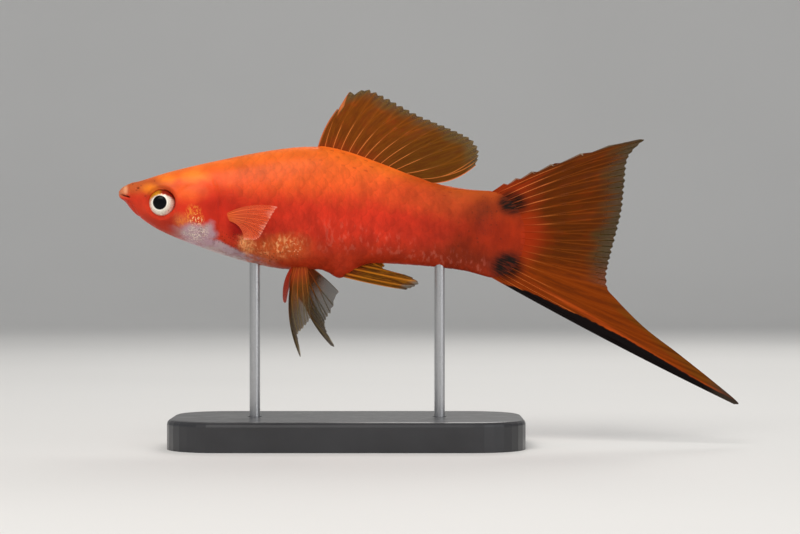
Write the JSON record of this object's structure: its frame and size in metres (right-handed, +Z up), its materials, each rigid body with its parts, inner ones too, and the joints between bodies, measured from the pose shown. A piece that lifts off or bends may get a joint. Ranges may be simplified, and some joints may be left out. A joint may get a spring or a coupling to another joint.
{
  "type": "swordtail display model",
  "caption": "Male swordtail fish, life size, swimming level on a plain flat base with round rods, with raised back fin, forked tail and long sword.",
  "frame": {"origin": "middle of the stand's underside, on the floor", "axes": "+Z up; -X is the way the fish faces; -Y is its left side, which the picture shows"},
  "size_m": [0.105, 0.03, 0.0607],
  "materials": {
    "skin": "orange-red scaled skin, wet-looking, with gold and silver on the cheek and throat",
    "fin": "thin orange fin with darker rays and clear edges; the sword has a black lower edge",
    "eye": "pale silver iris with a black pupil, glossy",
    "stand_base": "satin black",
    "stand_rod": "brushed steel"
  },
  "bodies": {
    "root": {"head": "skin", "upper_jaw": "skin", "lower_jaw": "skin", "torso": "skin", "tail": "skin", "gill_cover_left": "skin", "gill_cover_right": "skin", "eye_left": "eye", "eye_right": "eye", "dorsal_fin": "fin", "caudal_fin": "fin", "sword": "fin", "pectoral_fin_left": "fin", "pectoral_fin_right": "fin", "pelvic_fin_left": "fin", "pelvic_fin_right": "fin", "gonopodium": "fin", "stand_base": "stand_base", "stand_rod_front": "stand_rod", "stand_rod_rear": "stand_rod"}
  },
  "joints": []
}
